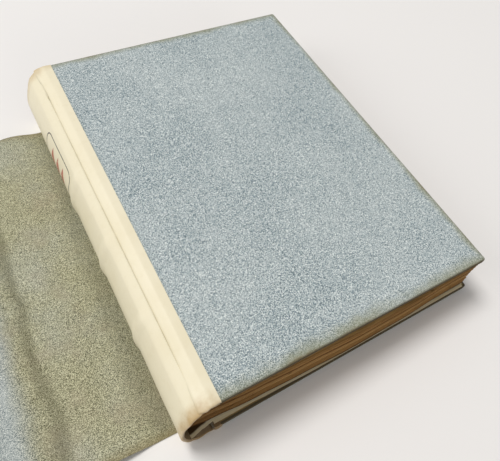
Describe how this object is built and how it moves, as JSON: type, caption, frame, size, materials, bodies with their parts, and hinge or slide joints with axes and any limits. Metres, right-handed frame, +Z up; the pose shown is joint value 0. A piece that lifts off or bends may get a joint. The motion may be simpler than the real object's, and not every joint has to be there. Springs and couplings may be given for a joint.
{
  "type": "book with paper jacket",
  "caption": "Case-bound book with a vellum spine and speckled paper boards, lying closed on its own loose, opened-out matching paper jacket.",
  "frame": {"origin": "on the table, under the middle of the back board", "axes": "+X from the spine to the fore-edge, +Y from the tail to the head, +Z up"},
  "size_m": [0.4991, 0.248, 0.0432],
  "materials": {
    "speckled_paper": "matt, blue-grey speckled cover paper",
    "vellum_skin": "smooth cream vellum",
    "binders_board": "plain grey-brown board",
    "endpaper": "cream endpaper",
    "text_paper": "toned, uneven page edges",
    "lining_cloth": "open-weave lining cloth",
    "linen_tape": "linen tape",
    "band_cord": "pressed strip",
    "jacket_paper": "speckled jacket paper, toned olive at the spine"
  },
  "bodies": {
    "jacket": {"jacket_front_panel": "jacket_paper", "jacket_front_flap": "jacket_paper", "jacket_spine": "jacket_paper", "jacket_back_panel": "jacket_paper"},
    "jacket_far_flap": {"jacket_back_flap": "jacket_paper"},
    "book": {"back_board": "binders_board", "back_cover_paper": "speckled_paper", "back_lap_vellum": "vellum_skin", "back_pastedown": "endpaper", "back_flyleaf": "endpaper", "gathering_01": "text_paper", "gathering_02": "text_paper", "gathering_03": "text_paper", "gathering_04": "text_paper", "gathering_05": "text_paper", "gathering_06": "text_paper", "gathering_07": "text_paper", "gathering_08": "text_paper", "gathering_09": "text_paper", "gathering_10": "text_paper", "gathering_11": "text_paper", "gathering_12": "text_paper", "gathering_13": "text_paper", "gathering_14": "text_paper", "gathering_15": "text_paper", "gathering_16": "text_paper", "spine_vellum": "vellum_skin", "spine_inlay": "binders_board", "spine_lining": "lining_cloth", "spine_band_1": "band_cord", "spine_band_2": "band_cord", "spine_band_3": "band_cord", "sewing_tape_1": "linen_tape", "sewing_tape_2": "linen_tape", "sewing_tape_3": "linen_tape"},
    "front_cover": {"front_board": "binders_board", "front_cover_paper": "speckled_paper", "front_lap_vellum": "vellum_skin", "front_pastedown": "endpaper"},
    "free_flyleaf": {"front_flyleaf": "endpaper"}
  },
  "joints": [
    {"name": "book_lift", "type": "slide", "parent": "jacket", "child": "book", "axis": [0, 0, 1], "range_m": [0, 0.2]},
    {"name": "front_cover_open", "type": "hinge", "parent": "book", "child": "front_cover", "pos_m": [-0.09312, 0, 0.04051], "axis": [0, -1, 0], "range_deg": [0, 180]},
    {"name": "front_flyleaf_turn", "type": "hinge", "parent": "book", "child": "free_flyleaf", "pos_m": [-0.0881, 0, 0.03878], "axis": [0, -1, 0], "range_deg": [0, 90]},
    {"name": "jacket_flap_fold", "type": "hinge", "parent": "jacket", "child": "jacket_far_flap", "pos_m": [-0.33836, 0.0082, 0.0003], "axis": [0.0349, 0.9994, 0], "range_deg": [0, 175]}
  ],
  "couplings": [
    {"joint": "front_flyleaf_turn", "follows": "front_cover_open", "ratio": 0.5}
  ]
}
